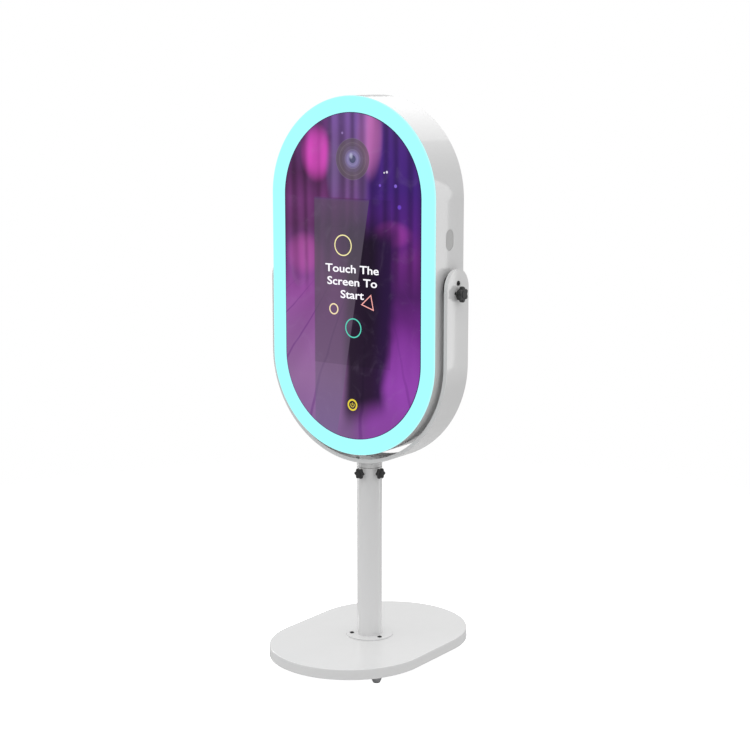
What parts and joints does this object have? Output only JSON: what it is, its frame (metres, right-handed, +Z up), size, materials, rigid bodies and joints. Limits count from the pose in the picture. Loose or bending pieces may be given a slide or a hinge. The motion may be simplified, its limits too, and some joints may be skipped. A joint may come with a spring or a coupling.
{
  "type": "mirror photo booth",
  "caption": "Oval mirror photo booth with a glowing ring, tilting in a yoke that turns on a pole with a weighted base.",
  "frame": {"origin": "on the floor under the pole's axis", "axes": "+Z up, -Y out of the mirror, +X to the right of someone who faces the mirror"},
  "size_m": [0.6512, 0.662, 1.6229],
  "materials": {
    "white_paint": "gloss white enamel on steel",
    "shell_paint": "gloss white enamel on aluminium sheet",
    "aluminium_bar": "mill finish",
    "raw_steel": "mill scale",
    "black_steel": "black oxide",
    "zinc_steel": "zinc plated",
    "foot_rubber": "matte",
    "nylon": "natural nylon",
    "dark_washer": "fibre",
    "black_plastic": "fine grained moulding",
    "grey_plastic": "satin moulding",
    "ring_diffuser": "opal acrylic, lit cyan",
    "led_board": "white circuit board with lamps",
    "two_way_mirror": "half-silvered glass over a dark cavity and a display",
    "touch_film": "clear film",
    "display": "dark screen",
    "lens_glass": "coated lens",
    "speaker_cone": "paper cone and pressed frame"
  },
  "bodies": {
    "stand": {"base_cover": "white_paint", "base_plate": "white_paint", "ballast_plate": "raw_steel", "pole_anchor": "raw_steel", "base_screws": "black_steel", "pole_flange": "white_paint", "flange_screws": "black_steel", "pole_tube": "white_paint", "clamp_bosses": "white_paint", "pole_bush": "nylon", "thrust_washer": "dark_washer"},
    "yoke": {"swivel_spigot": "white_paint", "yoke_band": "white_paint", "yoke_screws": "zinc_steel"},
    "head": {"tilt_hubs": "black_plastic", "hub_screws": "black_steel", "tilt_pivot_screws": "black_steel", "tilt_washers": "dark_washer", "pivot_plates": "zinc_steel", "housing_shell": "shell_paint", "side_plugs": "grey_plastic", "diffuser_ring": "ring_diffuser", "light_channel": "shell_paint", "led_strip": "led_board", "mirror_glass": "two_way_mirror", "touch_film": "touch_film", "lcd_panel": "display", "chassis_frame": "aluminium_bar", "camera_shroud": "black_plastic", "lens_barrel": "black_plastic", "lens_glass": "lens_glass", "camera_body": "black_plastic", "mini_computer": "black_plastic", "power_supply": "zinc_steel", "speakers": "speaker_cone", "fan_frame": "black_plastic", "fan_guard": "zinc_steel", "inlet_plate": "black_steel", "mains_inlet": "black_plastic", "rocker_frame": "black_plastic", "hinge_leaves": "white_paint", "hinge_pins": "zinc_steel"},
    "door": {"rear_door": "shell_paint", "door_leaves": "white_paint"},
    "door_lock": {"lock_barrel": "zinc_steel", "lock_cam": "zinc_steel"},
    "fan": {"fan_rotor": "black_plastic"},
    "rocker": {"power_rocker": "black_plastic"},
    "tilt_knob_right_washer": {"tilt_knob_right_washer": "zinc_steel"},
    "tilt_knob_right": {"tilt_knob_right": "black_plastic"},
    "tilt_knob_left_washer": {"tilt_knob_left_washer": "zinc_steel"},
    "tilt_knob_left": {"tilt_knob_left": "black_plastic"},
    "pole_knob_front_washer": {"pole_knob_front_washer": "zinc_steel"},
    "pole_knob_front": {"pole_knob_front": "black_plastic"},
    "pole_knob_side_washer": {"pole_knob_side_washer": "zinc_steel"},
    "pole_knob_side": {"pole_knob_side": "black_plastic"},
    "foot_front_left": {"foot_front_left": "foot_rubber"},
    "foot_front_right": {"foot_front_right": "foot_rubber"},
    "foot_rear_left": {"foot_rear_left": "foot_rubber"},
    "foot_rear_right": {"foot_rear_right": "foot_rubber"}
  },
  "joints": [
    {"name": "head_swivel", "type": "hinge", "parent": "stand", "child": "yoke", "pos_m": [0, 0, 0.58555], "axis": [0, 0, 1], "continuous": true},
    {"name": "head_tilt", "type": "hinge", "parent": "yoke", "child": "head", "pos_m": [0, -0.008, 1.11805], "axis": [1, 0, 0], "range_deg": [-25, 25]},
    {"name": "tilt_knob_right_travel", "type": "slide", "parent": "head", "child": "tilt_knob_right_washer", "axis": [1, 0, 0], "range_m": [0, 0.0025]},
    {"name": "tilt_knob_right_turn", "type": "hinge", "parent": "tilt_knob_right_washer", "child": "tilt_knob_right", "pos_m": [0.3045, -0.008, 1.08805], "axis": [1, 0, 0], "range_deg": [0, 720]},
    {"name": "tilt_knob_left_travel", "type": "slide", "parent": "head", "child": "tilt_knob_left_washer", "axis": [-1, 0, 0], "range_m": [0, 0.0025]},
    {"name": "tilt_knob_left_turn", "type": "hinge", "parent": "tilt_knob_left_washer", "child": "tilt_knob_left", "pos_m": [-0.3045, -0.008, 1.08805], "axis": [-1, 0, 0], "range_deg": [0, 720]},
    {"name": "pole_knob_front_travel", "type": "slide", "parent": "stand", "child": "pole_knob_front_washer", "axis": [0, -1, 0], "range_m": [0, 0.0025]},
    {"name": "pole_knob_front_turn", "type": "hinge", "parent": "pole_knob_front_washer", "child": "pole_knob_front", "pos_m": [0, -0.0405, 0.55], "axis": [0, -1, 0], "range_deg": [0, 720]},
    {"name": "pole_knob_side_travel", "type": "slide", "parent": "stand", "child": "pole_knob_side_washer", "axis": [0.9659, -0.2588, 0], "range_m": [0, 0.0025]},
    {"name": "pole_knob_side_turn", "type": "hinge", "parent": "pole_knob_side_washer", "child": "pole_knob_side", "pos_m": [0.03912, -0.01048, 0.55], "axis": [0.9659, -0.2588, 0], "range_deg": [0, 720]},
    {"name": "foot_front_left_height", "type": "slide", "parent": "stand", "child": "foot_front_left", "axis": [0, 0, 1], "range_m": [0, 0.007]},
    {"name": "foot_front_right_height", "type": "slide", "parent": "stand", "child": "foot_front_right", "axis": [0, 0, 1], "range_m": [0, 0.007]},
    {"name": "foot_rear_left_height", "type": "slide", "parent": "stand", "child": "foot_rear_left", "axis": [0, 0, 1], "range_m": [0, 0.007]},
    {"name": "foot_rear_right_height", "type": "slide", "parent": "stand", "child": "foot_rear_right", "axis": [0, 0, 1], "range_m": [0, 0.007]},
    {"name": "door_swing", "type": "hinge", "parent": "head", "child": "door", "pos_m": [0.152, 0.0602, 1.12805], "axis": [0, 0, -1], "range_deg": [0, 105]},
    {"name": "lock_turn", "type": "hinge", "parent": "door", "child": "door_lock", "pos_m": [-0.128, 0.0565, 1.11805], "axis": [0, 1, 0], "range_deg": [0, 90]},
    {"name": "fan_spin", "type": "hinge", "parent": "head", "child": "fan", "pos_m": [0, 0.043, 1.49305], "axis": [0, 1, 0], "continuous": true},
    {"name": "rocker_press", "type": "hinge", "parent": "head", "child": "rocker", "pos_m": [0.03, 0.055, 0.71305], "axis": [0, 0, -1], "range_deg": [0, 16]}
  ],
  "couplings": [
    {"joint": "tilt_knob_right_travel", "follows": "tilt_knob_right_turn", "m_per_rad": 0.00019894},
    {"joint": "tilt_knob_left_travel", "follows": "tilt_knob_left_turn", "m_per_rad": 0.00019894},
    {"joint": "pole_knob_front_travel", "follows": "pole_knob_front_turn", "m_per_rad": 0.00019894},
    {"joint": "pole_knob_side_travel", "follows": "pole_knob_side_turn", "m_per_rad": 0.00019894}
  ]
}
